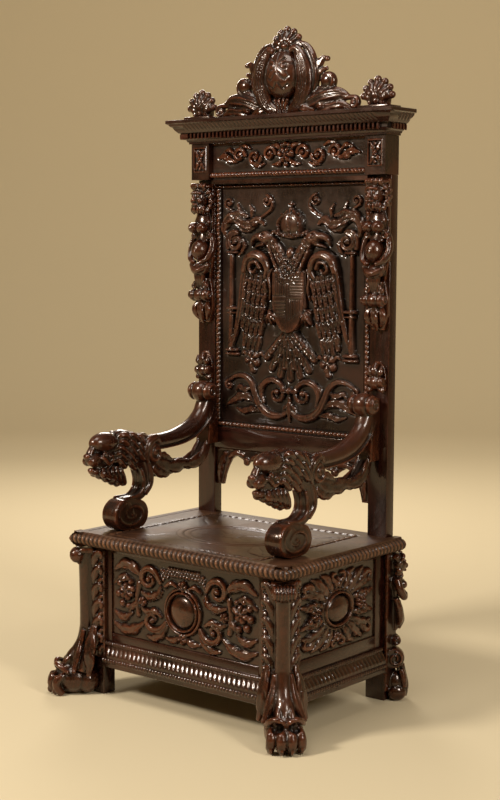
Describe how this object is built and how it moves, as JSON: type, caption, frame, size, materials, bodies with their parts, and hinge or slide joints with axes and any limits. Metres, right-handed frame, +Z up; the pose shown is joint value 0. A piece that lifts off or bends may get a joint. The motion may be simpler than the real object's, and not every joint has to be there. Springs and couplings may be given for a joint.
{
  "type": "throne",
  "caption": "Carved wooden throne with a panelled chest base on paw and figure consoles, lion-headed arms and a tall eagle-carved back with cornice and crest.",
  "frame": {"origin": "on the floor, in the middle of the throne's width and depth", "axes": "+Z up, -Y the front that the sitter faces, +X the sitter's left; mirror-symmetric about X = 0"},
  "size_m": [0.9318, 0.6648, 1.9416],
  "materials": {
    "frame_wood": "dark stained and varnished, plain boards",
    "carved_wood": "dark glossy varnish, redder on worn high spots",
    "seat_wood": "worn brown varnish with visible grain",
    "panel_wood": "greyer dark satin varnish"
  },
  "bodies": {
    "root": {"acroterion_left": "carved_wood", "acroterion_plinth_left": "frame_wood", "acroterion_plinth_right": "frame_wood", "acroterion_right": "carved_wood", "apron": "carved_wood", "arm_left": "carved_wood", "arm_right": "carved_wood", "arm_rosette_left": "carved_wood", "arm_rosette_right": "carved_wood", "back_panel": "panel_wood", "back_rail": "frame_wood", "base_moulding_front": "carved_wood", "base_moulding_side_left": "carved_wood", "base_moulding_side_right": "carved_wood", "chest_back": "frame_wood", "chest_floor": "frame_wood", "cornice": "carved_wood", "crest": "carved_wood", "frieze": "carved_wood", "frieze_block_left": "carved_wood", "frieze_block_right": "carved_wood", "front_bottom_rail": "frame_wood", "front_console_left": "carved_wood", "front_console_right": "carved_wood", "front_panel": "carved_wood", "front_post_left": "frame_wood", "front_post_right": "frame_wood", "front_top_rail": "frame_wood", "herm_left": "carved_wood", "herm_right": "carved_wood", "panel_bead_bottom": "carved_wood", "panel_bead_left": "carved_wood", "panel_bead_right": "carved_wood", "panel_bead_top": "carved_wood", "rear_console_left": "carved_wood", "rear_console_right": "carved_wood", "rear_post_left": "frame_wood", "rear_post_right": "frame_wood", "seat_board": "seat_wood", "side_bottom_rail_left": "frame_wood", "side_bottom_rail_right": "frame_wood", "side_panel_left": "carved_wood", "side_panel_right": "carved_wood", "side_stile_left": "frame_wood", "side_stile_right": "frame_wood", "side_top_rail_left": "frame_wood", "side_top_rail_right": "frame_wood"}
  },
  "joints": []
}
